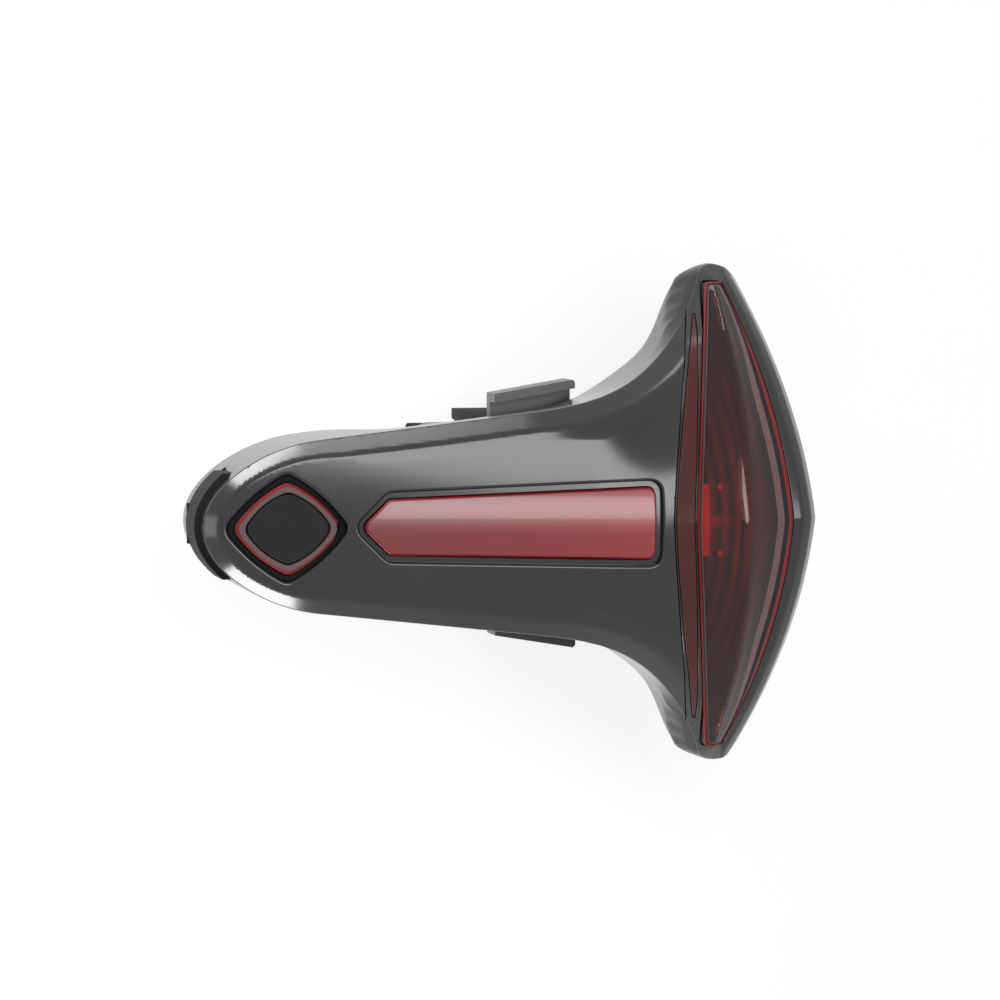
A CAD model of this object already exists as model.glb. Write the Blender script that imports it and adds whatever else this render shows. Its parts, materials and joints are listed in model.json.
import json
import math

import bpy
import numpy as np
from mathutils import Matrix, Vector
from mathutils.geometry import delaunay_2d_cdt

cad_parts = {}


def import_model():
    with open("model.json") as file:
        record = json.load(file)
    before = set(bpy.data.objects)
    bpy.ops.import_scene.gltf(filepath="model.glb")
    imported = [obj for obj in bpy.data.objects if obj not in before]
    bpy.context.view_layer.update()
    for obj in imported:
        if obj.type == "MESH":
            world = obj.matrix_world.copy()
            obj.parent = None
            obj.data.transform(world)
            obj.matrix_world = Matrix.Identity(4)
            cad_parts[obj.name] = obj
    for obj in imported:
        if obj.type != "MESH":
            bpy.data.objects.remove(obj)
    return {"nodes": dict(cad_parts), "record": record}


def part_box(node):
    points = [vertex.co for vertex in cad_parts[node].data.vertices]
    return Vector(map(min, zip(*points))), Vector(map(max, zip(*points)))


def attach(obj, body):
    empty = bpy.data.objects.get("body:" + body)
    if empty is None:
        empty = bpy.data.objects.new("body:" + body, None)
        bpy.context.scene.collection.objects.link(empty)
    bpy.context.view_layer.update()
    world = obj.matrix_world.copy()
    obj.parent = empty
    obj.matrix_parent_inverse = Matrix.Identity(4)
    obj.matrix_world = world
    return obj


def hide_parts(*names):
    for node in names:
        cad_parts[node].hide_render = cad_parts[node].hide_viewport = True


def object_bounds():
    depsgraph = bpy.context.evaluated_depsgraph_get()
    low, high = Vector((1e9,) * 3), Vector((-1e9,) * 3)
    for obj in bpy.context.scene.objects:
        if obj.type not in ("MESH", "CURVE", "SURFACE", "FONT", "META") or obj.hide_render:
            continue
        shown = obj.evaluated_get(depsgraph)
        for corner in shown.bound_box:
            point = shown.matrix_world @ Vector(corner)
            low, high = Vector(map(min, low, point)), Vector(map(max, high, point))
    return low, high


# Bicycle tail light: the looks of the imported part. The frame is in metres.
MM = 0.001

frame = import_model()
cad_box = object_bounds()
nodes = frame["nodes"]


# Shape of the light in millimetres, as it is drawn before it is moved to the frame's origin. Each curve
# across the head is given as value at the middle, lean per millimetre and bow per square millimetre.

# Plan of the body, from the tail at -X to the head
NOSE_X = -28.3
NOSE_LENGTH = 17.0
WAIST = 16.0
WAIST_TAPER = 0.115
HEAD_HALF_WIDTH = 37.8
EAR_X = 33.6
EAR_DROP = 0.8
EAR_FLARE = 3.58
EAR_TIP_X = 35.8
FLARE_START_X = 14.0
FRONT_START_Y = HEAD_HALF_WIDTH - 1.8
TAIL_X = NOSE_X - NOSE_LENGTH
PLUG_STAND = 0.8

# Seam, wide lens, its crest and the front edge across the head, in plan and in height
SEAM = (24.4, 0.045, 0.0045)
SEAM_RISE = (39.6, 0.0, -0.0145)
LENS_BACK = (28.0, 0.06, 0.0025)
LENS_BACK_RISE = (39.0, -0.09, -0.0110)
LENS_FRONT = (43.4, -0.075, -0.0039)
LENS_FRONT_RISE = (36.0, -0.08, -0.0095)
FRONT = (47.8, -0.10, -0.00417)
CREST_X = 35.2
CREST_RISE = (42.0, -0.10, -0.0125)

# Upper cover: its middle, the hollowed flanks, the band round its edge, and the wall under it
TOP_Z = 40.0
SIDE_PARTING_Z = 36.3
HEAD_PARTING_RISE = (37.2, 0.0, -0.0145)
PARTING_SLOPE = 0.35
PARTING_BLEND_X = (2.0, 26.0)
PARTING_BOW = 0.0075
PARTING_ROUND = 4.0
TOP_CROWN = 0.006
TOP_TAIL_FALL = 0.0008
TOP_BLEND_X = (12.0, SEAM[0] + 1.6)
BAND_LIFT = 0.35
BAND_SLOPE = 0.9
BAND_REACH = 9.0
BAND_WIDTH = 2.6
SCOOP_LEAN = 0.12
SCOOP_BOW = 0.075
SCOOP_FADE_X = (-34.0, -22.0)
SCOOP_FADE_LIFT = 3.0
COVER_CREASE = 0.25
BAND_CREASE = 0.35
COVER_WALL = (0.4, 1.2)
COVER_WALL_IN = (0.2, 3.0)

# Wide lens, its borders, frame and tray, and the sliver behind it
LENS_END_Y = 35.2
LENS_TIP_ROUND = 1.05
LENS_TIP_LEAST_ROUND = 0.3
LENS_TIP_LENGTH = 2.2
LENS_SLIM = 0.65
LENS_SLIM_Y = (16.0, 33.0)
LENS_BEVEL = 1.5
LENS_BEVEL_RISE = 1.3
LENS_RIDGE_ROUND = 1.3
LENS_BEVEL_CREASE = 0.2
LENS_WALL = 1.5
LENS_PLAY = 0.12
WINDOW_DEPTH = 3.2
FRAME_LAND_FALL = 0.5
FRAME_SLOPES = ((1.0, 3.2), (4.6, 8.2))
FRAME_FRONT_X = (35.0, 41.0)
FRAME_FRONT_LIFT = 14.0
FRAME_CREASES = (0.2, 0.25, 0.3)
BORDER_LIFT = 0.06
BORDER_LAYER = 0.02
BORDER_STEPS = ((0.0, 0.0), (-0.22, -0.75), (-0.5, -1.6), (-0.6, -2.9))
TRAY_END_Y = 31.0
TRAY_INSET = 1.7
TRAY_DEPTH = 5.0
TRAY_RIB = 0.12
TRAY_RIB_TURN = 1.9
ACCENT_END_Y = 30.5
ACCENT_LAND = 0.38
ACCENT_SHIFT = -0.05
ACCENT_DEPTH = 0.8
ACCENT_LIFT = 0.05
ACCENT_PLAY = 0.08
ACCENT_SLOT_DEPTH = 1.2
ACCENT_TIP_SHARE = 0.012
ACCENT_FULLNESS = 2.2
SEAM_GAP = 0.05
SEAM_EDGE = 0.15
LENS_EDGE = 0.2
SLIVER_EDGE = 0.12

# Push button and strip lens
BUTTON_X = -33.3
RECESS_HALF = (8.7, 7.7)
RECESS_DEPTH = 0.8
RECESS_EDGE = 0.7
RING_HALF = (7.7, 6.65)
RING_TOP_Z = 39.35
RING_FOOT_Z = 36.9
RING_BRIM = 0.5
RING_CHAMFER = 0.3
RING_EDGE = 0.25
PAD_HALF = (6.05, 5.1)
PAD_TOP_Z = RING_TOP_Z + 0.08
PAD_FOOT_Z = 37.6
PAD_EDGE = 0.35
SIDE_PLAY = 0.15
DIAMOND_ROUND = 1.6
DIAMOND_BULGE = 0.45
STRIP_TIP_X = -22.5
STRIP_SHOULDER = (-18.3, 4.1)
STRIP_END = (21.6, 5.4)
STRIP_TIP_ROUND = 1.4
STRIP_SHOULDER_ROUND = 1.2
STRIP_MARGIN = 0.95
STRIP_GROOVE_DEPTH = 0.9
STRIP_GROOVE_EDGE = 0.5
STRIP_TOP_Z = 40.25
STRIP_FOOT_Z = 37.2
STRIP_CROWN_RADIUS = 16.0
STRIP_EDGE = 0.35
STRIP_BORDER = 0.32
STRIP_BORDER_LIFT = 0.02
STRIP_BORDER_EDGE = 0.3
HOLE_DEPTH = 1.6

# Lower casing: rim, ear backs, draft of the long sides, foot, plug pocket, socket, rail slot and screw wells
FLOOR_Z = 12.3
RIM_GAP = 0.02
RIM_STEP = 0.12
LEDGE_EDGE = 0.06
EAR_BULGE = 2.6
EAR_BULGE_DEPTH = 3.0
EAR_BULGE_Y = (23.0, 34.0, 35.3, 38.6)
EAR_BULGE_END_X = EAR_TIP_X + 0.3
EAR_INSET_Y = (31.0, 36.5)
EAR_INSET_LOSS = 0.75
EAR_SWELL_LOSS = 0.25
SIDE_DRAFT = 1.3
SIDE_DRAFT_X = (-26.0, -12.0, 10.0, 22.0)
SIDE_DRAFT_Z = (14.0, 34.0)
FOOT_RINGS = ((21.0, 0.0), (18.5, 0.0), (16.5, 0.0), (15.5, 0.0), (14.9, 0.05), (14.2, 0.25),
              (13.6, 0.6), (13.1, 1.0), (12.7, 1.45), (12.45, 1.85), (FLOOR_Z, 2.3))
POCKET_DEPTH = 0.5
POCKET_HALF = 8.0
POCKET_SIDE = 0.1
POCKET_Z = (22.9, 32.6)
POCKET_STEP_Z = 24.0
SOCKET_HALF = 5.2
SOCKET_Z = (25.5, 30.1)
SLOT_X = (-31.5, 20.5)
WINDOW_END_X = -5.0
SLOT_NECK = 3.85
SLOT_HEAD = 5.75
SLOT_HEAD_Z = (13.75, 16.25)
SCREW_SPOTS = ((-28.0, 8.5), (22.5, 16.5))
WELL_RADIUS = 1.95
WELL_TOP_Z = 17.0

# From the drawn place to the frame's
DRAWN_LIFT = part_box("bracket_base")[0].z / MM
DRAWN_MIDDLE = (FRONT[0] + TAIL_X - PLUG_STAND) / 2.0


def bow(terms, y):
    """Value of a curve across the head at a distance from the middle."""
    return terms[0] + terms[1] * np.abs(y) + terms[2] * y * y


def smooth(start, end, value):
    """0 before start, 1 after end, and an even turn between them."""
    t = np.clip((value - start) / (end - start), 0.0, 1.0)
    return t * t * (3.0 - 2.0 * t)


def lower_of(a, b, radius):
    """The lower of two heights, with the edge between them rounded."""
    share = np.clip(0.5 + 0.5 * (b - a) / radius, 0.0, 1.0)
    return b * (1.0 - share) + a * share - radius * share * (1.0 - share)


def waist(x):
    """Half width of the body without its rounded tail."""
    flare = HEAD_HALF_WIDTH - EAR_DROP - WAIST - WAIST_TAPER * EAR_X
    return WAIST + WAIST_TAPER * x + flare * (np.maximum(x, 0.0) / EAR_X) ** EAR_FLARE


def edge_distance(x, y):
    """Distance inside the body's outline, square to it."""
    y = np.abs(y)
    away = np.hypot(x - NOSE_X, y)
    share = np.hypot((x - NOSE_X) / NOSE_LENGTH, y / waist(x))
    round_tail = away * (1.0 / np.maximum(share, 0.001) - 1.0)
    step = 0.01
    slope = (waist(x + step) - waist(x - step)) / (2.0 * step)
    straight = (waist(x) - y) / np.hypot(1.0, slope)
    return np.where(x < NOSE_X, round_tail, straight)


def parting(x, y):
    """Height where the lower casing meets the upper cover and the lens frame."""
    blend = smooth(*PARTING_BLEND_X, x)
    even_part = (1.0 - blend) * SIDE_PARTING_Z + blend * bow(HEAD_PARTING_RISE, y)
    ahead = x - SEAM[0] - PARTING_BOW * y * y
    return even_part - PARTING_SLOPE * (ahead + np.sqrt(ahead * ahead + PARTING_ROUND ** 2)) / 2.0


def plateau(x, y):
    """Height of the upper cover's middle."""
    body = TOP_Z - TOP_CROWN * y * y - TOP_TAIL_FALL * np.minimum(x, 0.0) ** 2
    blend = smooth(*TOP_BLEND_X, x)
    return (1.0 - blend) * body + blend * bow(SEAM_RISE, y)


def band(x, y):
    """Height of the sloped band round the upper cover's edge."""
    rise = BAND_SLOPE * edge_distance(x, y)
    return parting(x, y) + BAND_LIFT + np.where(rise < 0.0, rise, BAND_REACH * np.tanh(rise / BAND_REACH))


def scoop(x, y):
    """Height of the hollowed flank between the middle and the sloped band."""
    inside = edge_distance(x, y) - BAND_WIDTH
    fade = SCOOP_FADE_LIFT * (1.0 - smooth(*SCOOP_FADE_X, x))
    rise = SCOOP_LEAN * inside + SCOOP_BOW * inside * np.abs(inside)
    return parting(x, y) + BAND_LIFT + BAND_SLOPE * BAND_WIDTH + fade + np.minimum(rise, BAND_REACH)


def cover_height(x, y):
    """Upper face of the cover, its creases a little rounded."""
    return lower_of(lower_of(plateau(x, y), scoop(x, y), COVER_CREASE), band(x, y), BAND_CREASE)


def lens_height(x, y):
    """Upper face of the wide lens: two facets that meet at a ridge, and a bevel along its front."""
    back = bow(LENS_BACK, y)
    front = bow(LENS_FRONT, y)
    share = (front - back) / (LENS_FRONT[0] - LENS_BACK[0])
    ridge = bow(CREST_RISE, y)
    foot = bow(LENS_BACK_RISE, y)
    rear_facet = foot + (x - back) * (ridge - foot) / (CREST_X - back)
    knee_x = front - LENS_BEVEL * share
    knee_z = bow(LENS_FRONT_RISE, y) + LENS_BEVEL_RISE * share
    front_facet = ridge + (x - CREST_X) * (knee_z - ridge) / np.maximum(knee_x - CREST_X, 0.4)
    bevel = bow(LENS_FRONT_RISE, y) + (front - x) * LENS_BEVEL_RISE / LENS_BEVEL
    return lower_of(lower_of(rear_facet, front_facet, LENS_RIDGE_ROUND), bevel, LENS_BEVEL_CREASE)


def frame_height(x, y):
    """Upper face of the frame round the wide lens."""
    seam = bow(SEAM, y)
    back = bow(LENS_BACK, y)
    front = bow(LENS_FRONT, y)
    edge = bow(FRONT, y)
    behind = np.clip((x - seam) / np.maximum(back - seam, 0.5), 0.0, 1.0)
    rear = (1.0 - behind) * cover_height(seam, y) + behind * bow(LENS_BACK_RISE, y)
    ahead = (x - front) / np.maximum(edge - front, 1.2)
    rim = bow(LENS_FRONT_RISE, y)
    land = rim - FRAME_LAND_FALL * ahead
    first_slope, second_slope = (rim + lift - fall * ahead for lift, fall in FRAME_SLOPES)
    fore = lower_of(lower_of(land, first_slope, FRAME_CREASES[0]), second_slope, FRAME_CREASES[1])
    share = smooth(0.0, 1.0, (x - back) / np.maximum(front - back, 1.0))
    top = (1.0 - share) * rear + share * fore
    raised = FRAME_FRONT_LIFT * smooth(*FRAME_FRONT_X, x)
    edge_band = parting(x, y) + BAND_LIFT + BAND_SLOPE * distance_to_outline(x, y) + raised
    return lower_of(top, edge_band, FRAME_CREASES[2])


# Outlines in plan

def curve_through(points, step):
    """Even points on a smooth curve through the given ones."""
    points = np.array(points, float)
    padded = np.vstack([2.0 * points[0] - points[1], points, 2.0 * points[-1] - points[-2]])
    fine = []
    for i in range(len(points) - 1):
        p0, p1, p2, p3 = padded[i:i + 4]
        for t in np.linspace(0.0, 1.0, 8, endpoint=False):
            fine.append(0.5 * (2.0 * p1 + (p2 - p0) * t + (2.0 * p0 - 5.0 * p1 + 4.0 * p2 - p3) * t ** 2
                               + (3.0 * p1 - p0 - 3.0 * p2 + p3) * t ** 3))
    fine.append(points[-1])
    return even(np.array(fine), step)


def even(points, step, closed=False):
    """The same line with evenly spaced points."""
    if closed:
        points = np.vstack([points, points[:1]])
    lengths = np.concatenate([[0.0], np.cumsum(np.hypot(*np.diff(points, axis=0).T))])
    count = max(3, int(round(lengths[-1] / step)))
    places = np.linspace(0.0, lengths[-1], count + 1)
    line = np.stack([np.interp(places, lengths, points[:, k]) for k in (0, 1)], axis=1)
    return line[:-1] if closed else line


def half_outline(step):
    """Plan of the body from the tail, round the +Y ear, to the middle of the front."""
    points = []
    for angle in np.radians(np.linspace(0.0, 90.0, 19)[:-1]):
        x = NOSE_X - NOSE_LENGTH * math.cos(angle)
        points.append((x, waist(x) * math.sin(angle)))
    straight = np.linspace(NOSE_X, FLARE_START_X, 15)[:-1]
    for x in np.concatenate([straight, np.linspace(FLARE_START_X, EAR_X, 16)]):
        points.append((x, waist(x)))
    points.append((EAR_TIP_X, HEAD_HALF_WIDTH))
    for y in np.linspace(FRONT_START_Y, 0.0, 14):
        points.append((bow(FRONT, y), y))
    return curve_through(points, step)


def mirrored(half):
    """A closed outline from the half of it on the +Y side."""
    return np.vstack([half, half[-2:0:-1] * (1.0, -1.0)])


def crossing(half):
    """Where the half outline meets the seam, and how many points lie before it."""
    ahead = half[:, 0] - bow(SEAM, half[:, 1])
    count = int(np.argmax(ahead > 0.0))
    share = ahead[count - 1] / (ahead[count - 1] - ahead[count])
    return half[count - 1] + share * (half[count] - half[count - 1]), count


def rounded(corners, radii, step):
    """Closed outline with its corners rounded."""
    corners = np.array(corners, float)
    points = []
    for i, radius in enumerate(radii):
        here = corners[i]
        to_last = corners[i - 1] - here
        to_next = corners[(i + 1) % len(corners)] - here
        to_last = to_last / np.hypot(*to_last)
        to_next = to_next / np.hypot(*to_next)
        half_angle = 0.5 * math.acos(max(-1.0, min(1.0, float(to_last @ to_next))))
        reach = radius / math.tan(half_angle)
        start = here + reach * to_last
        end = here + reach * to_next
        for t in np.linspace(0.0, 1.0, 9):
            points.append((1.0 - t) ** 2 * start + 2.0 * t * (1.0 - t) * here + t * t * end)
    return even(np.array(points), step, closed=True)


def diamond(half, shrink=0.0):
    """Closed outline of the push button's diamond, with full sides and round corners."""
    radius = DIAMOND_ROUND
    reach = np.array(half) - radius - shrink
    corners = [np.array(c) * reach for c in ((1, 0), (0, 1), (-1, 0), (0, -1))]
    points = []
    for i, start in enumerate(corners):
        end = corners[(i + 1) % 4]
        along = (end - start) / np.hypot(*(end - start))
        out = np.array((along[1], -along[0]))
        for t in np.linspace(0.0, 1.0, 17):
            lean = DIAMOND_BULGE * 4.0 * (1.0 - 2.0 * t) / np.hypot(*(end - start))
            normal = out - lean * along
            normal = normal / np.hypot(*normal)
            bulge = out * DIAMOND_BULGE * 4.0 * t * (1.0 - t)
            points.append(start + t * (end - start) + bulge + radius * normal)
        turn_from = math.atan2(normal[1], normal[0])
        corner_axis = math.atan2(end[1], end[0])
        gap = math.remainder(corner_axis - turn_from, 2.0 * math.pi)
        for t in np.linspace(0.0, 2.0, 9)[1:-1]:
            turn = turn_from + gap * t
            points.append(end + radius * np.array((math.cos(turn), math.sin(turn))))
    line = even(np.array(points), 0.2, closed=True)
    return line + np.array((BUTTON_X, 0.0))


def strip(grow):
    """Closed outline of the strip lens, grown by a margin."""
    tip = (STRIP_TIP_X - 1.1 * grow, 0.0)
    shoulder = (STRIP_SHOULDER[0] - 0.2 * grow, STRIP_SHOULDER[1] + grow)
    end = (STRIP_END[0] + grow, STRIP_END[1] + grow)
    corners = [tip, (shoulder[0], -shoulder[1]), (end[0], -end[1]), end, shoulder]
    soft = STRIP_TIP_ROUND + 0.6 * grow
    blunt = STRIP_SHOULDER_ROUND + grow
    return rounded(corners, [soft, blunt, soft, soft, blunt], 0.25)


def lens_outline(grow=0.0, front_grow=None):
    """Closed outline of the wide lens, grown by a margin, which at the front may be another one."""
    front_grow = grow if front_grow is None else front_grow
    reach = LENS_END_Y + grow
    ys = np.hstack([-reach, np.linspace(-reach + LENS_TIP_LENGTH, reach - LENS_TIP_LENGTH, 56), reach])
    rear = [(bow(LENS_BACK, y) - grow, y) for y in ys]
    slim = 1.0 - LENS_SLIM * smooth(*LENS_SLIM_Y, np.abs(ys))
    fore = [(bow(LENS_FRONT, y) + front_grow * share, y) for y, share in zip(ys[::-1], slim[::-1])]
    radii = [0.0] * len(rear + fore)
    corners = rear + fore
    for i in (0, len(rear) - 1, len(rear), len(corners) - 1):
        radii[i] = max(LENS_TIP_LEAST_ROUND, LENS_TIP_ROUND + grow)
    return rounded(corners, radii, 0.35)


def between(rear, fore, ys, step):
    """Closed outline between a rear and a front curve, each given as its x at the same places across."""
    line = np.vstack([np.column_stack([rear, ys]), np.column_stack([fore, ys])[::-1]])
    return even(line, step, closed=True)


def accent_outline(grow):
    """Closed outline of the sliver between the seam and the wide lens, a crescent that ends in points."""
    ys = np.linspace(-ACCENT_END_Y - grow, ACCENT_END_Y + grow, 50)
    share = np.abs(ys) / (ACCENT_END_Y + grow)
    taper = np.sqrt(np.maximum(ACCENT_TIP_SHARE, 1.0 - share ** ACCENT_FULLNESS))
    middle = (bow(SEAM, ys) + bow(LENS_BACK, ys)) / 2.0 + ACCENT_SHIFT
    half = ((bow(LENS_BACK, ys) - bow(SEAM, ys)) / 2.0 - ACCENT_LAND) * taper + grow
    return between(middle - half, middle + half, ys, 0.3)


def signed_area(line):
    """Area of a closed outline, positive where it runs counter-clockwise."""
    x, y = line[:, 0], line[:, 1]
    return 0.5 * float(np.sum(x * np.roll(y, -1) - y * np.roll(x, -1)))


def outward(line):
    """Unit directions that point out of a closed outline."""
    along = np.roll(line, -1, axis=0) - np.roll(line, 1, axis=0)
    along /= np.hypot(along[:, 0], along[:, 1])[:, None]
    side = 1.0 if signed_area(line) > 0.0 else -1.0
    return side * np.stack([along[:, 1], -along[:, 0]], axis=1)


def distance_to(points, line):
    """Distance from each point to a closed outline."""
    step = np.roll(line, -1, axis=0) - line
    squares = np.maximum((step ** 2).sum(1), 1e-12)
    nearest = np.full(len(points), np.inf)
    for first in range(0, len(points), 2000):
        chunk = points[first:first + 2000, None, :] - line[None]
        share = np.clip((chunk * step[None]).sum(2) / squares, 0.0, 1.0)
        away = chunk - share[..., None] * step[None]
        nearest[first:first + 2000] = np.sqrt((away ** 2).sum(2).min(1))
    return nearest


def distance_to_outline(x, y):
    """Distance to the body's outline."""
    points = np.stack([np.ravel(x), np.ravel(y)], axis=1)
    return distance_to(points, BODY_OUTLINE).reshape(np.shape(x))


def within(points, line):
    """Which points lie inside a closed outline."""
    x, y = points[:, 0], points[:, 1]
    inside = np.zeros(len(points), bool)
    for (x0, y0), (x1, y1) in zip(line, np.roll(line, -1, axis=0)):
        crosses = (y0 > y) != (y1 > y)
        if y1 != y0:
            inside ^= crosses & (x < x0 + (y - y0) * (x1 - x0) / (y1 - y0))
    return inside


# Skins: meshes whose shading follows the same formula as their shape

class Skin:
    """Points, faces and shading directions of one piece, in drawn millimetres."""

    def __init__(self):
        self.points = []
        self.faces = []
        self.normals = []

    def add(self, points, faces, normals):
        """Adds faces, whose corners count from the first of the points given with them."""
        start = len(self.points)
        self.points.extend(np.asarray(points, float).tolist())
        self.faces.extend([tuple(int(i) + start for i in face) for face in faces])
        self.normals.extend(np.asarray(normals, float).tolist())

    def build(self, name, slot, body, replaced=(), finish=None):
        """Makes the piece in the frame, with its finish, on its body."""
        points = (np.array(self.points) - (DRAWN_MIDDLE, 0.0, -DRAWN_LIFT)) * MM
        mesh = bpy.data.meshes.new(name)
        mesh.from_pydata(points.tolist(), [], self.faces)
        mesh.shade_smooth()
        normals = np.array(self.normals)
        normals /= np.maximum(np.linalg.norm(normals, axis=1), 1e-9)[:, None]
        mesh.normals_split_custom_set_from_vertices(normals.tolist())
        mesh.materials.append(finishes[finish or slot])
        piece = bpy.data.objects.new(name, mesh)
        bpy.context.scene.collection.objects.link(piece)
        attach(piece, body)
        if replaced:
            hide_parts(*replaced)


def slopes(height, x, y):
    """Upward shading directions of a height formula."""
    step = 0.03
    dx = (height(x + step, y) - height(x - step, y)) / (2.0 * step)
    dy = (height(x, y + step) - height(x, y - step)) / (2.0 * step)
    normals = np.stack([-dx, -dy, np.ones_like(dx)], axis=1)
    return normals / np.linalg.norm(normals, axis=1)[:, None]


def sheet(skin, height, loops, spacing, below=False):
    """Face over a plan outline, the first loop, with holes, the others. A loop is (outline, edge radius)."""
    points = []
    heights = []
    normals = []
    edges = []
    for i, (line, radius) in enumerate(loops):
        out = outward(line) if i == 0 else -outward(line)
        sideways = np.column_stack([out, np.zeros(len(out))])
        for k, angle in enumerate(np.radians((90.0, 65.0, 40.0, 18.0, 0.0)) if radius else (0.0,)):
            inset = radius * (1.0 - math.sin(angle))
            ring = line - out * inset
            ring_sideways = sideways
            if k:
                clear = distance_to(ring, line) > 0.9 * inset
                ring = ring[clear]
                ring_sideways = sideways[clear]
            base = slopes(height, ring[:, 0], ring[:, 1])
            if k == 0:
                first = len(points)
                edges.extend((first + j, first + (j + 1) % len(line)) for j in range(len(line)))
            points.extend(ring.tolist())
            heights.extend(height(ring[:, 0], ring[:, 1]) - radius * (1.0 - math.cos(angle)))
            normals.extend(base * math.cos(angle) + ring_sideways * math.sin(angle))
    low = loops[0][0].min(0)
    high = loops[0][0].max(0)
    rows = np.arange(low[1], high[1] + spacing, spacing * 0.866)
    columns = np.arange(low[0], high[0] + spacing, spacing)
    grid = np.array([(x + (j % 2) * spacing / 2.0, y) for j, y in enumerate(rows) for x in columns])
    keep = within(grid, loops[0][0])
    for i, (line, radius) in enumerate(loops):
        if i:
            keep &= ~within(grid, line)
        keep[keep] = distance_to(grid[keep], line) > radius + 0.45 * spacing
    grid = grid[keep]
    points.extend(grid.tolist())
    heights.extend(height(grid[:, 0], grid[:, 1]))
    normals.extend(slopes(height, grid[:, 0], grid[:, 1]))
    found = delaunay_2d_cdt([Vector(p) for p in points], edges, [], 0, 1e-7)
    plan = np.array([tuple(v) for v in found[0]])
    sources = [group[0] for group in found[3]]
    triangles = np.array([face for face in found[2] if len(face) == 3])
    middles = plan[triangles].mean(1)
    keep = within(middles, loops[0][0])
    for line, radius in loops[1:]:
        keep &= ~within(middles, line)
    triangles = triangles[keep]
    heights = np.array(heights)[sources]
    normals = np.array(normals)[sources]
    if below:
        triangles = triangles[:, ::-1]
        normals = -normals
    skin.add(np.column_stack([plan, heights]), triangles, normals)


def strake(skin, rings, normals):
    """Quads between successive closed rings of points, with their shading directions."""
    count = len(rings[0])
    faces = []
    for k in range(len(rings) - 1):
        for j in range(count):
            n = (j + 1) % count
            faces.append((k * count + j, k * count + n, (k + 1) * count + n, (k + 1) * count + j))
    skin.add(np.vstack(rings), faces, np.vstack(normals))


def ring(line, z):
    """A plan outline at a height, or at a height for each point."""
    return np.column_stack([line, np.broadcast_to(z, len(line))])


def wall(skin, line, top, bottom, out=1.0):
    """Upright wall along an outline, facing out of it, or into it where out is -1."""
    facing = np.column_stack([out * outward(line), np.zeros(len(line))])
    rings = [ring(line, top), ring(line, bottom)]
    if (signed_area(line) > 0.0) == (out > 0.0):
        rings.reverse()
    strake(skin, rings, [facing, facing])


def chamfer(skin, outline_at, upper, lower):
    """Sloped band between two rings of an outline function, each given as (shrink, z)."""
    run, rise = np.subtract(lower, upper)
    length = math.hypot(rise, run)
    rings = []
    facing = []
    for shrink, z in (upper, lower):
        line = outline_at(shrink)
        rings.append(ring(line, z))
        facing.append(np.column_stack([outward(line) * rise / length, np.full(len(line), run / length)]))
    strake(skin, rings, facing)


# Shader values and finishes

class Value:
    """A number that changes over a surface. Arithmetic on it adds Math nodes."""

    def __init__(self, finish, socket):
        self.finish = finish
        self.socket = socket

    def math(self, operation, first, second):
        """Adds a Math node."""
        node = self.finish.add("ShaderNodeMath", {"operation": operation}, {0: first, 1: second})
        return Value(self.finish, node.outputs[0])

    def __add__(self, other):
        return self.math("ADD", self, other)

    __radd__ = __add__

    def __sub__(self, other):
        return self.math("SUBTRACT", self, other)

    def __rsub__(self, other):
        return self.math("SUBTRACT", other, self)

    def __mul__(self, other):
        return self.math("MULTIPLY", self, other)

    __rmul__ = __mul__

    def __abs__(self):
        return self.math("ABSOLUTE", self, 0.0)

    def clipped(self):
        """The value held between 0 and 1."""
        node = self.finish.add("ShaderNodeClamp", {}, {"Value": self})
        return Value(self.finish, node.outputs[0])


class NodeTree:
    """A node tree that is filled through one method."""

    def __init__(self, tree):
        self.tree = tree

    def add(self, kind, settings, sockets):
        """Adds a node: its settings first, then the values or links of its sockets."""
        node = self.tree.nodes.new(kind)
        for name, value in settings.items():
            setattr(node, name, value)
        for name, value in sockets.items():
            self.feed(node.inputs[name], value)
        return node

    def feed(self, socket, value):
        """Links a value, or sets a constant on the socket."""
        if isinstance(value, Value):
            value = value.socket
        if isinstance(value, bpy.types.NodeSocket):
            self.tree.links.new(value, socket)
        else:
            socket.default_value = value


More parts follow.
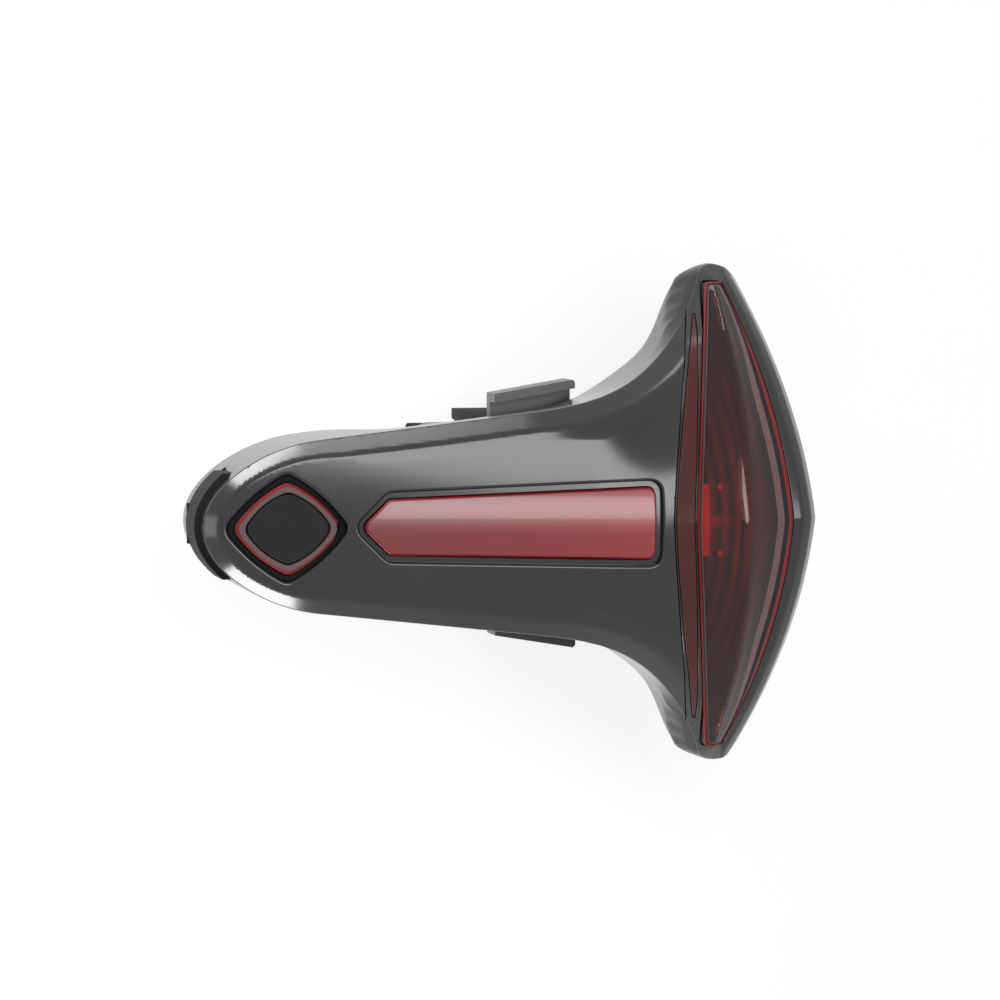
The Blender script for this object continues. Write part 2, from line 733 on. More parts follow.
class Finish(NodeTree):
    """A material with one Principled shader, and the nodes that vary it over the surface."""

    def __init__(self, name, **constants):
        self.material = bpy.data.materials.new(name)
        self.material.use_nodes = True
        super().__init__(self.material.node_tree)
        self.tree.nodes.clear()
        sockets = {socket.replace("_", " "): value for socket, value in constants.items()}
        self.shader = self.add("ShaderNodeBsdfPrincipled", {}, sockets)
        self.output = self.add("ShaderNodeOutputMaterial", {}, {0: self.shader.outputs[0]})

    def set(self, name, value):
        """Links a value to a socket of the shader."""
        self.feed(self.shader.inputs[name], value)

    def vary(self, pattern, dark, light, roughness):
        """Colour that a pattern moves between two colours, and the roughness."""
        self.set("Base Color", self.mix(pattern, dark, light))
        self.set("Roughness", roughness)

    def place(self, scale=(1.0, 1.0, 1.0)):
        """Object coordinates, stretched along each axis."""
        coordinates = self.add("ShaderNodeTexCoord", {}, {})
        mapping = self.add("ShaderNodeMapping", {}, {"Vector": coordinates.outputs["Object"], "Scale": scale})
        return mapping.outputs[0]

    def axis(self, name):
        """One coordinate of the object, in metres."""
        coordinates = self.add("ShaderNodeTexCoord", {}, {})
        parts = self.add("ShaderNodeSeparateXYZ", {}, {"Vector": coordinates.outputs["Object"]})
        return Value(self, parts.outputs[name])

    def wave(self, place):
        """Soft lines, from 0 to 1, one to each step of the given place."""
        turn = place * (2.0 * math.pi)
        return turn.math("SINE", turn, 0.0) * 0.5 + 0.5

    def noise(self, per_metre, detail=3.0, roughness=0.5, stretch=(1.0, 1.0, 1.0)):
        """Soft clouds, 0 to 1."""
        node = self.add("ShaderNodeTexNoise", {}, {
            "Vector": self.place(stretch), "Scale": per_metre, "Detail": detail, "Roughness": roughness})
        return Value(self, node.outputs[0])

    def grains(self, per_metre):
        """Distance to the nearest of many scattered points, 0 to about 1."""
        node = self.add("ShaderNodeTexVoronoi", {}, {"Vector": self.place(), "Scale": per_metre})
        return Value(self, node.outputs["Distance"])

    def mix(self, share, first, second):
        """Colour between two colours."""
        node = self.add("ShaderNodeMix", {"data_type": "RGBA"}, {"Factor": share, 6: first, 7: second})
        return node.outputs[2]

    def bump(self, height, strength, distance):
        """Fine relief, with its depth in metres."""
        node = self.add("ShaderNodeBump", {}, {"Strength": strength, "Distance": distance, "Height": height})
        self.set("Normal", node.outputs[0])


def rgb(red, green, blue):
    """An opaque colour."""
    return (red, green, blue, 1.0)


def grey(level):
    """An opaque grey."""
    return rgb(level, level, level)


def gloss_black():
    """Black polished plastic with a faint moulded waviness and fine wiping marks."""
    finish = Finish("gloss_black", IOR=1.5)
    cloud = finish.noise(90.0, 2.0)
    marks = finish.noise(900.0, 4.0, 0.6, (1.0, 0.25, 1.0))
    finish.vary(cloud, rgb(0.010, 0.010, 0.011), rgb(0.016, 0.016, 0.017), 0.12 + 0.07 * marks + 0.04 * cloud)
    finish.bump(cloud + 0.1 * marks, 0.05, 0.2 * MM)
    return finish.material


def satin_plastic():
    """Black moulded plastic with a fine even grain."""
    finish = Finish("bracket_plastic", IOR=1.5)
    grain = finish.noise(2600.0, 2.0)
    cloud = finish.noise(120.0, 2.0)
    finish.vary(cloud, rgb(0.013, 0.013, 0.014), rgb(0.022, 0.022, 0.023), 0.24 + 0.12 * grain + 0.05 * cloud)
    finish.bump(grain, 0.18, 0.05 * MM)
    return finish.material


def rubber(name, dark, light, roughness, grain_size):
    """Rubber with a dusty grain."""
    finish = Finish(name, IOR=1.45, Specular_IOR_Level=0.2)
    grain = finish.noise(1.0 / grain_size, 4.0, 0.65)
    dust = finish.noise(260.0, 3.0)
    finish.vary(dust, grey(dark), rgb(light, light, light * 1.03), roughness + 0.18 * grain)
    finish.bump(grain, 0.35, 0.06 * MM)
    return finish.material


def clear_red(name, dark, light, roughness):
    """Red transparent plastic, a little uneven in tint."""
    finish = Finish(name, IOR=1.4, Transmission_Weight=1.0)
    cloud = finish.noise(160.0, 2.0)
    finish.vary(cloud, dark, light, roughness + 0.03 * finish.noise(1200.0, 3.0))
    finish.bump(cloud, 0.03, 0.1 * MM)
    return finish.material


STRIP_FADE_PER_MM = 0.022


def strip_red():
    """Red plastic of the strip lens, brighter toward the head."""
    finish = Finish("red_lens", IOR=1.5, Coat_Weight=0.25, Coat_Roughness=0.04)
    cloud = finish.noise(140.0, 2.0)
    flutes = finish.noise(420.0, 2.0, 0.5, (0.05, 1.0, 1.0))
    from_tip = finish.axis("X") * (1.0 / MM) + DRAWN_MIDDLE - STRIP_TIP_X
    toward_head = (from_tip * STRIP_FADE_PER_MM).clipped()
    mottle = (cloud * 0.5 + flutes * 0.5).clipped()
    low = finish.mix(toward_head, rgb(0.125, 0.012, 0.014), rgb(0.19, 0.012, 0.014))
    high = finish.mix(toward_head, rgb(0.17, 0.018, 0.02), rgb(0.27, 0.02, 0.022))
    finish.vary(mottle, low, high, 0.22 + 0.1 * flutes)
    finish.bump(flutes, 0.05, 0.1 * MM)
    return finish.material


def solder_mask():
    """Green circuit board with copper tracks under the mask."""
    finish = Finish("circuit_board", IOR=1.5)
    track = finish.add("ShaderNodeTexBrick", {"offset": 0.35}, {
        "Vector": finish.place(), "Scale": 420.0,
        "Mortar Size": 0.035, "Brick Width": 0.9, "Row Height": 0.35,
        "Color1": grey(0.0), "Color2": grey(0.25), "Mortar": grey(1.0)})
    lines = Value(finish, track.outputs["Fac"])
    finish.vary(lines, rgb(0.012, 0.075, 0.032), rgb(0.05, 0.2, 0.085), 0.3 + 0.12 * finish.noise(900.0))
    finish.bump(lines, 0.2, 0.04 * MM)
    return finish.material


def metal(name, marks, dark, light, roughness, spread, relief=None, metallic=1.0):
    """Metal surface whose marks, clouds or creases vary its colour, its roughness and its relief."""
    finish = Finish(name, Metallic=metallic)
    marks = finish.noise(*marks)
    finish.vary(marks, dark, light, roughness + spread * marks)
    if relief:
        finish.bump(marks, *relief)
    return finish.material


def plated_steel(name, low, high, roughness):
    """Plated steel with drawn or turned marks."""
    return metal(name, (1500.0, 4.0, 0.6, (0.15, 1.0, 1.0)), grey(low), rgb(high, high, high * 0.98),
                 roughness, 0.2, (0.12, 0.02 * MM))


def light_emitter():
    """Yellow phosphor in a white package."""
    finish = Finish("led", IOR=1.5)
    spots = finish.grains(700.0)
    finish.vary(spots, rgb(0.86, 0.66, 0.16), rgb(0.9, 0.88, 0.8), 0.35 + 0.2 * spots)
    return finish.material


def milky(name, dark, light, roughness):
    """Moulded plastic in a pale colour."""
    finish = Finish(name, IOR=1.5)
    cloud = finish.noise(300.0, 3.0)
    finish.vary(cloud, dark, light, roughness + 0.15 * cloud)
    finish.bump(finish.noise(2500.0), 0.1, 0.03 * MM)
    return finish.material


def foam():
    """Black open foam."""
    finish = Finish("foam", IOR=1.4)
    cells = finish.grains(1600.0)
    finish.vary(cells, grey(0.02), grey(0.09), 0.85 + 0.1 * cells)
    finish.bump(cells, 0.8, 0.2 * MM)
    return finish.material


# Lit patches and faint arcs of the tray, in drawn millimetres
PATCH_HALF_Y = 5.4
PATCH_END_X = 31.2
SPOT_START_Y = 4.3
SPOT_END_X = 33.8
CENTRE_HALF_Y = 1.0
CENTRE_END_X = 35.0
ARC_BOW = 0.006
ARCS_PER_MM = 0.55
SPOTS_PER_MM = 0.5


def tray_red():
    """Dark red plastic behind the lens, with faint arcs, and lit patches by the middle of its rear edge."""
    finish = Finish("tray_red", IOR=1.4, Emission_Strength=0.5)
    across = finish.axis("X") * (1.0 / MM) + DRAWN_MIDDLE
    along = abs(finish.axis("Y") * (1.0 / MM))
    mottle = finish.noise(420.0, 3.0, 0.6)
    arcs = finish.wave((across + along * along * ARC_BOW) * ARCS_PER_MM)
    near = (1.15 - along * 0.045).clipped()
    middle = ((PATCH_HALF_Y - along) * 3.0).clipped()
    block = middle * ((PATCH_END_X - across) * 2.0).clipped() * (0.35 + mottle)
    outer_part = ((along - SPOT_START_Y) * 3.0).clipped() * middle
    before_ridge = ((SPOT_END_X - across) * 2.0).clipped()
    spots = outer_part * before_ridge * ((finish.wave(across * SPOTS_PER_MM) - 0.75) * 6.0).clipped()
    centre = ((CENTRE_HALF_Y - along) * 2.0).clipped() * ((CENTRE_END_X - across) * 0.25).clipped() * mottle
    base = finish.mix(arcs * near, rgb(0.012, 0.002, 0.002), rgb(0.2, 0.008, 0.008))
    lit = (block + spots * 0.8 + centre * 0.5).clipped()
    finish.vary(lit, base, rgb(0.75, 0.012, 0.012), 0.5 + 0.2 * mottle)
    finish.set("Emission Color", finish.mix(lit, grey(0.0), rgb(0.6, 0.012, 0.012)))
    return finish.material


def plain_gloss(name, low, high, roughness):
    """Smooth moulded plastic of one colour."""
    finish = Finish(name, IOR=1.5, Specular_IOR_Level=0.25)
    cloud = finish.noise(240.0, 2.0)
    finish.vary(cloud, low, high, roughness + 0.08 * cloud)
    finish.bump(cloud, 0.04, 0.05 * MM)
    return finish.material


finishes = {
    "gloss_black": gloss_black(),
    "smoke_red_lens": clear_red("smoke_red_lens", rgb(0.50, 0.10, 0.10), rgb(0.56, 0.12, 0.12), 0.0),
    "dark_red_lens": clear_red("dark_red_lens", rgb(0.42, 0.02, 0.025), rgb(0.5, 0.03, 0.035), 0.05),
    "red_lens": strip_red(),
    "tray": tray_red(),
    "ring": plain_gloss("ring_band", rgb(0.085, 0.055, 0.055), rgb(0.12, 0.075, 0.075), 0.3),
    "accent": plain_gloss("accent_red", rgb(0.050, 0.010, 0.010), rgb(0.070, 0.013, 0.013), 0.2),
    "border": plain_gloss("border_red", rgb(0.14, 0.002, 0.003), rgb(0.19, 0.003, 0.004), 0.3),
    "shade": rubber("recess_shade", 0.004, 0.007, 0.7, 0.3 * MM),
    "bevel": plain_gloss("border_bevel", rgb(0.11, 0.055, 0.055), rgb(0.14, 0.07, 0.07), 0.25),
    "diffuser": milky("diffuser", rgb(0.78, 0.77, 0.75), rgb(0.88, 0.87, 0.85), 0.35),
    "pad_rubber": rubber("pad_rubber", 0.010, 0.018, 0.6, 0.35 * MM),
    "seal_rubber": rubber("seal_rubber", 0.012, 0.02, 0.6, 0.25 * MM),
    "bracket_plastic": satin_plastic(),
    "reflector": metal("reflector", (500.0, 3.0), rgb(0.55, 0.5, 0.5), rgb(0.8, 0.76, 0.76), 0.12, 0.14),
    "circuit_board": solder_mask(),
    "led": light_emitter(),
    "switch_metal": plated_steel("switch_metal", 0.5, 0.72, 0.2),
    "switch_button": milky("switch_button", grey(0.04), grey(0.08), 0.4),
    "cell_wrap": metal("cell_wrap", (180.0, 6.0, 0.7), rgb(0.42, 0.43, 0.45), rgb(0.66, 0.67, 0.7), 0.22, 0.3,
                       (0.4, 0.3 * MM), 0.85),
    "foam": foam(),
    "connector": milky("connector", rgb(0.72, 0.7, 0.64), rgb(0.82, 0.8, 0.74), 0.4),
    "lead_red": rubber("lead_red", 0.3, 0.36, 0.35, 0.4 * MM),
    "screw_steel": plated_steel("screw_steel", 0.42, 0.66, 0.22),
}

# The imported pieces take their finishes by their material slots
for part in frame["record"]["subparts"]:
    node = nodes[part["node"]]
    node.data.materials.clear()
    node.data.materials.append(finishes[part["material_slot"]])


# Drawn pieces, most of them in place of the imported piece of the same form

HALF_OUTLINE = half_outline(0.6)
BODY_OUTLINE = mirrored(HALF_OUTLINE)


def seam_corner(shift):
    """Where the seam, moved along X, meets the body's outline, and how many points lie before it."""
    corner, count = crossing(HALF_OUTLINE - (shift, 0.0))
    return corner + (shift, 0.0), count


def seam_line(shift, start, end):
    """Points of the seam across the head, between its two corners."""
    ys = np.linspace(start, end, 120)
    return np.column_stack([bow(SEAM, ys) + shift, ys])[1:-1]


def cover_outline(shift):
    """Plan of the upper cover, up to the seam."""
    corner, count = seam_corner(shift)
    side = np.vstack([HALF_OUTLINE[:count], corner])
    return np.vstack([side, seam_line(shift, corner[1], -corner[1]), side[:0:-1] * (1.0, -1.0)])


def frame_outline(shift):
    """Plan of the lens frame, from the seam to the front."""
    corner, count = seam_corner(shift)
    front = np.vstack([corner, HALF_OUTLINE[count:]])
    return np.vstack([front, front[-2::-1] * (1.0, -1.0), seam_line(shift, -corner[1], corner[1])])


def plane(z):
    """Height formula of a flat face."""
    return lambda x, y: np.full_like(x, z)


def level(height, line, drop=0.0):
    """Heights of a formula along an outline."""
    return height(line[:, 0], line[:, 1]) - drop


def upper_cover():
    """Glossy upper cover with the button's recess and the strip lens's groove."""
    skin = Skin()
    edge = cover_outline(-SEAM_GAP)
    recess = diamond(RECESS_HALF)
    groove = strip(STRIP_MARGIN)
    sheet(skin, cover_height, [(edge, SEAM_EDGE), (recess, RECESS_EDGE), (groove, STRIP_GROOVE_EDGE)], 0.45)
    thin, gain = COVER_WALL
    under = lambda x, y: cover_height(x, y) - thin - gain * smooth(*COVER_WALL_IN, edge_distance(x, y))
    wall(skin, edge, level(cover_height, edge, SEAM_EDGE), level(under, edge))
    floor_z = plateau(BUTTON_X, 0.0) - RECESS_DEPTH
    wall(skin, recess, level(cover_height, recess, RECESS_EDGE), floor_z, -1.0)
    ring_hole = diamond(RING_HALF, -SIDE_PLAY)
    shade = Skin()
    sheet(shade, plane(floor_z), [(recess, 0.0), (ring_hole, 0.0)], 0.8)
    shade.build("recess_floor", "gloss_black", "housing", (), "shade")
    wall(skin, ring_hole, floor_z, floor_z - HOLE_DEPTH, -1.0)
    strip_floor = lambda x, y: plateau(x, y) - STRIP_GROOVE_DEPTH
    wall(skin, groove, level(cover_height, groove, STRIP_GROOVE_EDGE), level(strip_floor, groove), -1.0)
    strip_hole = strip(SIDE_PLAY)
    sheet(skin, strip_floor, [(groove, 0.0), (strip_hole, 0.0)], 0.8)
    wall(skin, strip_hole, level(strip_floor, strip_hole), level(strip_floor, strip_hole, HOLE_DEPTH), -1.0)
    sheet(skin, under, [(edge, 0.0), (recess, 0.0), (groove, 0.0)], 1.2, below=True)
    skin.build("upper_cover", "gloss_black", "housing", ["top_shell"])


def strip_crown(x, y):
    """Upper face of the strip lens, crowned across its width."""
    return STRIP_TOP_Z - y * y / (2.0 * STRIP_CROWN_RADIUS)


def slab(name, slot, body, replaced, outline, top, edge, low, spacings, finish=None):
    """Piece with a face above that is rounded at its edge, an upright wall, and a face below."""
    skin = Skin()
    sheet(skin, top, [(outline, edge)], spacings[0])
    wall(skin, outline, level(top, outline, edge), level(low, outline))
    sheet(skin, low, [(outline, 0.0)], spacings[1], below=True)
    skin.build(name, slot, body, [replaced], finish)


def strip_lens_face():
    """Red strip lens."""
    slab("strip_lens_face", "red_lens", "housing", "strip_lens", strip(0.0), strip_crown, STRIP_EDGE,
         plane(STRIP_FOOT_Z), (0.5, 1.5))


def strip_border():
    """Thin red line round the strip lens."""
    skin = Skin()
    face = lambda x, y: strip_crown(x, y) + STRIP_BORDER_LIFT
    sheet(skin, face, [(strip(0.0), STRIP_BORDER_EDGE), (strip(-STRIP_BORDER), 0.0)], 0.4)
    skin.build("strip_border", "red_lens", "housing", (), "border")


def button_frame():
    """Ring round the push button's pad, with a red chamfer as a piece of its own."""
    skin = Skin()
    outer = diamond(RING_HALF)
    brim = diamond(RING_HALF, RING_BRIM)
    inner = diamond(PAD_HALF, -SIDE_PLAY)
    sheet(skin, plane(RING_TOP_Z), [(brim, 0.0), (inner, RING_EDGE)], 0.5)
    edge = Skin()
    chamfer(edge, lambda shrink: diamond(RING_HALF, shrink),
            (RING_BRIM, RING_TOP_Z), (0.0, RING_TOP_Z - RING_CHAMFER))
    edge.build("button_edge", "dark_red_lens", "housing", (), "border")
    wall(skin, outer, RING_TOP_Z - RING_CHAMFER, RING_FOOT_Z)
    wall(skin, inner, RING_TOP_Z - RING_EDGE, RING_FOOT_Z, -1.0)
    sheet(skin, plane(RING_FOOT_Z), [(outer, 0.0), (inner, 0.0)], 0.8, below=True)
    skin.build("button_frame", "dark_red_lens", "housing", ["button_ring"], "ring")


def button_pad():
    """Rubber pad that is pushed."""
    slab("button_pad", "pad_rubber", "button", "button_cap", diamond(PAD_HALF), plane(PAD_TOP_Z), PAD_EDGE,
         plane(PAD_FOOT_Z), (0.6, 1.0))


def head_frame():
    """Glossy frame round the wide lens."""
    skin = Skin()
    edge = frame_outline(SEAM_GAP)
    window = lens_outline(LENS_PLAY)
    sliver = accent_outline(ACCENT_PLAY)
    sheet(skin, frame_height, [(edge, SEAM_EDGE), (window, SEAM_EDGE), (sliver, SLIVER_EDGE)], 0.4)
    wall(skin, edge, level(frame_height, edge, SEAM_EDGE), level(parting, edge))
    holes = ((window, SEAM_EDGE, WINDOW_DEPTH), (sliver, SLIVER_EDGE, ACCENT_SLOT_DEPTH))
    for hole, rounding, depth in holes:
        wall(skin, hole, level(frame_height, hole, rounding), level(frame_height, hole, depth), -1.0)
    skin.build("head_frame", "gloss_black", "housing", ["head_bezel"])


def accent_sliver():
    """Dark red sliver between the seam and the wide lens."""
    face = lambda x, y: frame_height(x, y) + ACCENT_LIFT
    low = lambda x, y: frame_height(x, y) - ACCENT_DEPTH
    slab("accent_sliver", "dark_red_lens", "housing", "accent_guide", accent_outline(0.0), face, SLIVER_EDGE,
         low, (0.4, 0.8), "accent")


def light_tray():
    """Dark red tray under the wide lens, with fine ribs along the lens."""
    skin = Skin()
    ys = np.linspace(-TRAY_END_Y, TRAY_END_Y, 60)
    outline = between(bow(LENS_BACK, ys) + TRAY_INSET, bow(LENS_FRONT, ys) - TRAY_INSET, ys, 0.35)
    deep = lambda x, y: lens_height(x, y) - TRAY_DEPTH - TRAY_RIB * np.cos(TRAY_RIB_TURN * x)
    sheet(skin, deep, [(outline, 0.0)], 0.45)
    skin.build("light_tray", "reflector", "housing", ["head_reflector"], "tray")


def lens_border():
    """Border of the wide lens: a red line, a black line, and a pale bevel, wider along the front."""
    rims = [lens_outline(*step) for step in BORDER_STEPS]
    strips = (("border_red", "dark_red_lens", "border"), ("border_black", "seal_rubber", "seal_rubber"),
              ("border_bevel", "smoke_red_lens", "bevel"))
    for i, (name, slot, finish) in enumerate(strips):
        skin = Skin()
        face = lambda x, y: lens_height(x, y) + BORDER_LIFT - BORDER_LAYER * i
        sheet(skin, face, [(rims[i], 0.0), (rims[i + 1], 0.0)], 0.35)
        skin.build(name, slot, "housing", (), finish)


def wide_lens():
    """Smoked red lens, a clear shell of even thickness."""
    under = lambda x, y: lens_height(x, y) - LENS_WALL
    slab("wide_lens", "smoke_red_lens", "housing", "head_lens", lens_outline(0.0), lens_height, LENS_EDGE,
         under, (0.4, 0.5))


def casing_ring(inset, z, swell=1.0):
    """Outline of the lower casing at a height, drawn in along its sides and swollen at the ears' backs."""
    line = BODY_OUTLINE
    y = np.abs(line[:, 1])
    below = np.clip((RIM_Z - z) / EAR_BULGE_DEPTH, 0.0, 1.0)
    full = EAR_BULGE * smooth(*EAR_BULGE_Y[:2], y) * (1.0 - smooth(*EAR_BULGE_Y[2:], y))
    out = np.where(line[:, 0] < EAR_BULGE_END_X, full * np.sin(0.5 * math.pi * below) * swell, 0.0)
    side = smooth(*SIDE_DRAFT_X[:2], line[:, 0]) * (1.0 - smooth(*SIDE_DRAFT_X[2:], line[:, 0]))
    draft = SIDE_DRAFT * np.clip((SIDE_DRAFT_Z[1] - z) / (SIDE_DRAFT_Z[1] - SIDE_DRAFT_Z[0]), 0.0, 1.0)
    pull = inset * (1.0 - EAR_INSET_LOSS * smooth(*EAR_INSET_Y, y)) + side * draft
    moved = line - outward(line) * np.reshape(pull, (-1, 1))
    return np.column_stack([moved[:, 0] - out, moved[:, 1], np.broadcast_to(z, len(line))])


def loft(skin, rings, skip=None):
    """Smooth closed skin through rings of points, from the top one down. Its shading follows its own form."""
    grid = np.array(rings)
    along = np.roll(grid, -1, axis=1) - np.roll(grid, 1, axis=1)
    down = np.gradient(grid, axis=0)
    facing = np.cross(along, down)
    middle = grid.mean(axis=(0, 1))
    if np.sum(facing * (grid - middle)) < 0.0:
        facing = -facing
    count = grid.shape[1]
    faces = []
    clockwise = signed_area(grid[0][:, :2]) < 0.0
    for k in range(len(rings) - 1):
        for j in range(count):
            n = (j + 1) % count
            corners = (k * count + j, (k + 1) * count + j, (k + 1) * count + n, k * count + n)
            if skip is None or not skip(grid.reshape(-1, 3)[list(corners)].mean(axis=0)):
                faces.append(corners[::-1] if clockwise else corners)
    skin.add(grid.reshape(-1, 3), faces, facing.reshape(-1, 3))


def rectangle(x_range, half_y, y_mid=0.0):
    """Closed outline of an upright box, counter-clockwise."""
    low, high = y_mid - half_y, y_mid + half_y
    return np.array([(x_range[0], low), (x_range[1], low), (x_range[1], high), (x_range[0], high)], float)


def circle(x, y, radius):
    """Closed outline of a round hole."""
    angles = np.linspace(0.0, 2.0 * math.pi, 24, endpoint=False)
    return np.column_stack([x + radius * np.cos(angles), y + radius * np.sin(angles)])


def lid(skin, line, z, up=1.0):
    """Flat face over a simple outline."""
    face = list(range(len(line)))
    if (signed_area(line) > 0.0) != (up > 0.0):
        face.reverse()
    skin.add(ring(line, z), [face], np.tile((0.0, 0.0, up), (len(line), 1)))


def lower_casing():
    """Lower casing: full ear backs, the plug's pocket and socket, and the rail slot and screw wells below."""
    skin = Skin()
    steps_down = iter(np.arange(1, 40) * RIM_STEP)

    def at(z):
        """A level, or just below the rim where the rim is lower."""
        return np.minimum(z, RIM_Z - next(steps_down))

    beside = smooth(POCKET_HALF - POCKET_SIDE, POCKET_HALF + POCKET_SIDE, np.abs(BODY_OUTLINE[:, 1]))
    pocket = np.where(BODY_OUTLINE[:, 0] < NOSE_X, POCKET_DEPTH * (1.0 - beside), 0.0)
    low_z, high_z = POCKET_Z
    socket_low, socket_high = SOCKET_Z
    ledge = at(high_z)
    loft(skin, [casing_ring(0.0, z) for z in (RIM_Z - RIM_GAP, ledge + LEDGE_EDGE, ledge)])

    def in_socket(point):
        """Whether a point lies in the charging socket's opening."""
        return point[0] < NOSE_X and abs(point[1]) < SOCKET_HALF and socket_low < point[2] < socket_high

    stops = [ledge, at(socket_high), at(socket_low), at(POCKET_STEP_Z), at(low_z)]
    loft(skin, [casing_ring(pocket, z) for z in stops], in_socket)
    for z, down in ((stops[0], -1.0), (stops[-1], 1.0)):
        facing = np.tile((0.0, 0.0, down), (len(BODY_OUTLINE), 1))
        pair = [casing_ring(pocket, z), casing_ring(0.0, z)]
        strake(skin, pair if down < 0.0 else pair[::-1], [facing, facing])
    lower = [casing_ring(0.0, stops[-1])]
    for z, inset in FOOT_RINGS:
        lower.append(casing_ring(inset, at(z), 1.0 - EAR_SWELL_LOSS * inset))
    loft(skin, lower)
    underside = lower[-1][:, :2]
    slot = np.array([(SLOT_X[0], -SLOT_HEAD), (WINDOW_END_X, -SLOT_HEAD), (WINDOW_END_X, -SLOT_NECK),
                     (SLOT_X[1], -SLOT_NECK), (SLOT_X[1], SLOT_NECK), (WINDOW_END_X, SLOT_NECK),
                     (WINDOW_END_X, SLOT_HEAD), (SLOT_X[0], SLOT_HEAD)])
    wells = [circle(x, side * y, WELL_RADIUS) for x, y in SCREW_SPOTS for side in (-1.0, 1.0)]
    holes = [(line, 0.0) for line in [slot] + wells]
    sheet(skin, plane(FLOOR_Z), [(underside, 0.0)] + holes, 1.6, below=True)
    wall(skin, slot, SLOT_HEAD_Z[0], FLOOR_Z, -1.0)
    roomy = rectangle(SLOT_X, SLOT_HEAD)
    wall(skin, roomy, SLOT_HEAD_Z[1], SLOT_HEAD_Z[0], -1.0)
    lid(skin, roomy, SLOT_HEAD_Z[1], -1.0)
    for side in (-1.0, 1.0):
        middle = side * (SLOT_HEAD + SLOT_NECK) / 2.0
        lip = rectangle((WINDOW_END_X, SLOT_X[1]), (SLOT_HEAD - SLOT_NECK) / 2.0, middle)
        lid(skin, lip, SLOT_HEAD_Z[0])
    for well in wells:
        wall(skin, well, WELL_TOP_Z, FLOOR_Z, -1.0)
    skin.build("lower_casing", "gloss_black", "housing", ["bottom_shell"])


RIM_Z = parting(BODY_OUTLINE[:, 0], BODY_OUTLINE[:, 1])

upper_cover()
lower_casing()
strip_lens_face()
strip_border()
button_frame()
button_pad()
head_frame()
accent_sliver()
light_tray()
lens_border()
wide_lens()


# Floor, light and camera

FLOOR_REACH = 3.0
FLOOR_GLOW = 0.8
ROOM_LIGHT = 0.55


def floor():
    """Pale floor under the light, far larger than it."""
    corners = [(FLOOR_REACH * x, FLOOR_REACH * y, 0.0) for x, y in ((-1, -1), (1, -1), (1, 1), (-1, 1))]
    mesh = bpy.data.meshes.new("floor")
    mesh.from_pydata(corners, [], [(0, 1, 2, 3)])
    stage = bpy.data.objects.new("floor", mesh)
    bpy.context.scene.collection.objects.link(stage)
    stage.location.z = cad_box[0][2] - 0.02 * MM
    finish = Finish("floor_white", Roughness=0.9)
    grain = finish.noise(60.0, 4.0)
    finish.set("Base Color", finish.mix(grain, grey(0.84), grey(0.88)))
    path = finish.add("ShaderNodeLightPath", {}, {})
    seen = Value(finish, path.outputs["Is Camera Ray"]) * FLOOR_GLOW
    mirrored_ray = sum(Value(finish, path.outputs[ray]) for ray in ("Is Glossy Ray", "Is Transmission Ray"))
    glow = finish.add("ShaderNodeEmission", {}, {"Color": grey(1.0), "Strength": 1.0})
    blend = finish.add("ShaderNodeMixShader", {}, {
        0: (seen + mirrored_ray).clipped(), 1: finish.shader.outputs[0], 2: glow.outputs[0]})
    finish.feed(finish.output.inputs[0], blend.outputs[0])
    mesh.materials.append(finish.material)


def world():
    """White surround: full strength where it is seen or mirrored, less where it lights."""
    scene_world = bpy.data.worlds.new("white_room")
    bpy.context.scene.world = scene_world
    scene_world.use_nodes = True
    room = NodeTree(scene_world.node_tree)
    room.tree.nodes.clear()
    path = room.add("ShaderNodeLightPath", {}, {})
    rays = ("Is Camera Ray", "Is Glossy Ray", "Is Transmission Ray")
    seen = sum(Value(room, path.outputs[ray]) for ray in rays)
    strength = ROOM_LIGHT + (1.0 - ROOM_LIGHT) * seen.clipped()
    background = room.add("ShaderNodeBackground", {}, {"Color": grey(1.0), "Strength": strength})
    room.add("ShaderNodeOutputWorld", {}, {0: background.outputs[0]})


def soft_light(name, place, target, width, depth, radiance):
    """Rectangular soft light of a given brightness, facing a point."""
    data = bpy.data.lights.new(name, "AREA")
    data.shape = "RECTANGLE"
    data.size = width
    data.size_y = depth
    data.energy = radiance * math.pi * width * depth
    lamp = bpy.data.objects.new(name, data)
    bpy.context.scene.collection.objects.link(lamp)
    lamp.location = place
    aim = Vector(target) - Vector(place)
    lamp.rotation_euler = aim.to_track_quat("-Z", "Y").to_euler()


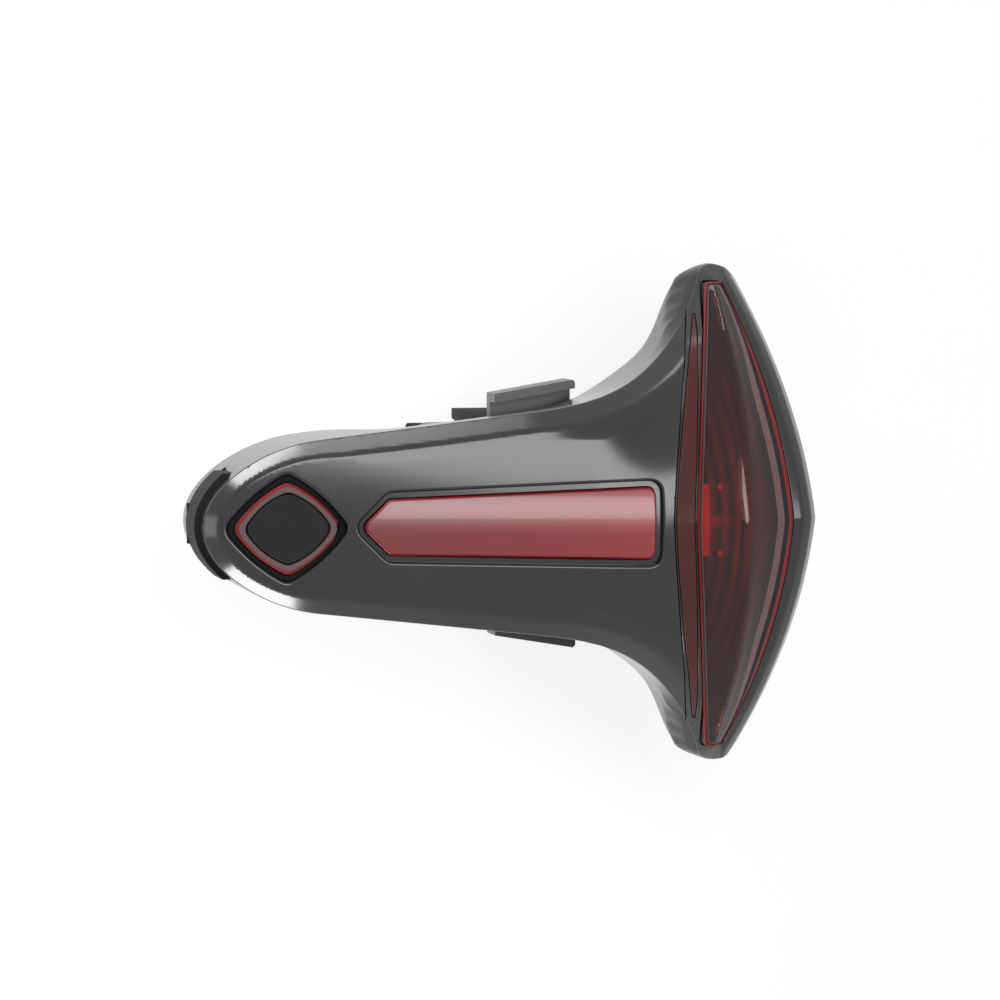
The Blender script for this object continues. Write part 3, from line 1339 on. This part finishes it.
# The photograph's view: where it aims, how far it leans, and how large a millimetre is on it
AIM = Vector((-DRAWN_MIDDLE, 0.0, 28.0 + DRAWN_LIFT)) * MM
DISTANCE = 800.0 * MM
LEAN = math.radians(11.5)
SIDEWAYS = math.radians(3.6)
ROLL = math.radians(-0.85)
AIM_PIXEL = (497.0, 520.5)
PIXELS_PER_MM = 6.72
IMAGE = 1000.0
SENSOR = 36.0


def camera():
    """Camera at the photograph's angle, moved sideways so that the light sits where it does there."""
    level_share = math.cos(SIDEWAYS)
    back = Vector((-math.sin(LEAN) * level_share, math.sin(SIDEWAYS), math.cos(LEAN) * level_share))
    right = Vector((1.0, 0.0, 0.0))
    right = (right - right.dot(back) * back).normalized()
    up = back.cross(right)
    right, up = (math.cos(ROLL) * right + math.sin(ROLL) * up, math.cos(ROLL) * up - math.sin(ROLL) * right)
    data = bpy.data.cameras.new("camera")
    data.sensor_width = SENSOR
    data.lens = SENSOR * PIXELS_PER_MM * (DISTANCE / MM) / IMAGE
    view = bpy.data.objects.new("camera", data)
    bpy.context.scene.collection.objects.link(view)
    across = (IMAGE / 2.0 - AIM_PIXEL[0]) / PIXELS_PER_MM * MM
    above = (AIM_PIXEL[1] - IMAGE / 2.0) / PIXELS_PER_MM * MM
    place = AIM + across * right + above * up + DISTANCE * back
    turn = Matrix((right, up, back)).transposed().to_4x4()
    view.matrix_world = Matrix.Translation(place) @ turn
    bpy.context.scene.camera = view


floor()
world()
soft_light("overhead", (0.12, 0.16, 0.627), (0.0, 0.0, 0.037), 0.5, 0.2, 7.0)
for side in (-1.0, 1.0):
    soft_light("side_strip", (-0.085, side * 0.13, 0.05), (-0.04, 0.0, 0.036), 0.085, 0.035, 20.0)
soft_light("long_side", (-0.02, 0.7, 0.12), (0.0, 0.0, 0.04), 0.16, 0.2, 5.0)
soft_light("tail_low", (-0.6, 0.0, 0.16), (-0.03, 0.0, 0.04), 0.3, 0.12, 3.0)
camera()
bpy.context.scene.view_settings.view_transform = "Standard"
